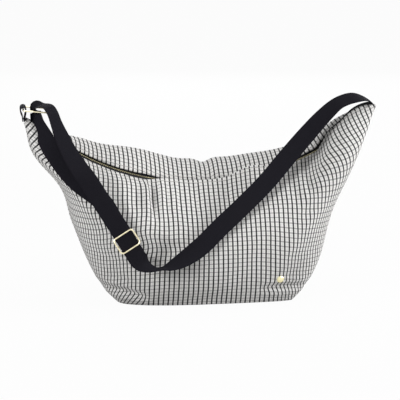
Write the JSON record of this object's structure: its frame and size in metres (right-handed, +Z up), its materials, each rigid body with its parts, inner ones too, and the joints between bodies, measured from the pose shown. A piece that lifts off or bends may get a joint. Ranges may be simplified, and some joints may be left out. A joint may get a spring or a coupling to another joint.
{
  "type": "half moon bag",
  "caption": "Soft crescent shoulder bag in checked cloth with a curved zip along the mouth, a flat boxed base and a webbing strap with a sliding adjuster.",
  "frame": {"origin": "Middle of the base panel, on the surface the bag stands on.", "axes": "+X along the mouth to the right as the front is seen, -Y towards the front, +Z up."},
  "size_m": [0.6175, 0.2333, 0.3591],
  "materials": {
    "check_cloth": "woven black and grey check on off-white cotton",
    "lining_cloth": "plain cotton lining",
    "zip_tape": "black woven tape",
    "zip_brass": "polished brass teeth and slider",
    "webbing": "flat black cotton webbing",
    "brass": "polished brass wire and plate"
  },
  "bodies": {
    "bag": {"front_panel": "check_cloth", "back_panel": "check_cloth", "base_panel": "check_cloth", "front_lining": "lining_cloth", "back_lining": "lining_cloth", "base_lining": "lining_cloth", "front_zip_tape": "zip_tape", "back_zip_tape": "zip_tape", "front_zip_teeth": "zip_brass", "back_zip_teeth": "zip_brass", "zip_top_stop_front": "zip_brass", "zip_top_stop_back": "zip_brass", "zip_bottom_stop": "zip_brass", "ring_tab": "webbing", "strap_anchor": "webbing", "accent_stud": "brass"},
    "ring": {"strap_ring": "brass"},
    "strap": {"shoulder_strap": "webbing"},
    "adjuster": {"strap_adjuster": "brass", "strap_return": "webbing"},
    "slider": {"zip_slider": "zip_brass"},
    "pull": {"zip_pull": "zip_brass"}
  },
  "joints": [
    {"name": "strap_swing", "type": "hinge", "parent": "bag", "child": "strap", "pos_m": [-0.2843, -0.028, 0.3376], "axis": [-0.9993, -0.036, -0.0115], "range_deg": [0, 140]},
    {"name": "ring_swing", "type": "hinge", "parent": "bag", "child": "ring", "pos_m": [-0.307, -0.008, 0.34], "axis": [0, -1, 0], "range_deg": [0, 5]},
    {"name": "adjuster_slide", "type": "slide", "parent": "strap", "child": "adjuster", "axis": [-0.5066, 0.3073, 0.8056], "range_m": [0, 0.11], "deforming": ["strap_return"]},
    {"name": "zip_slide", "type": "hinge", "parent": "bag", "child": "slider", "pos_m": [0, -0.008, 0.635], "axis": [0, -1, 0], "range_deg": [0, 68], "deforming": ["front_zip_teeth", "back_zip_teeth"]},
    {"name": "pull_swing", "type": "hinge", "parent": "slider", "child": "pull", "pos_m": [-0.23928, -0.008, 0.28025], "axis": [0, -1, 0], "range_deg": [0, 170]}
  ]
}
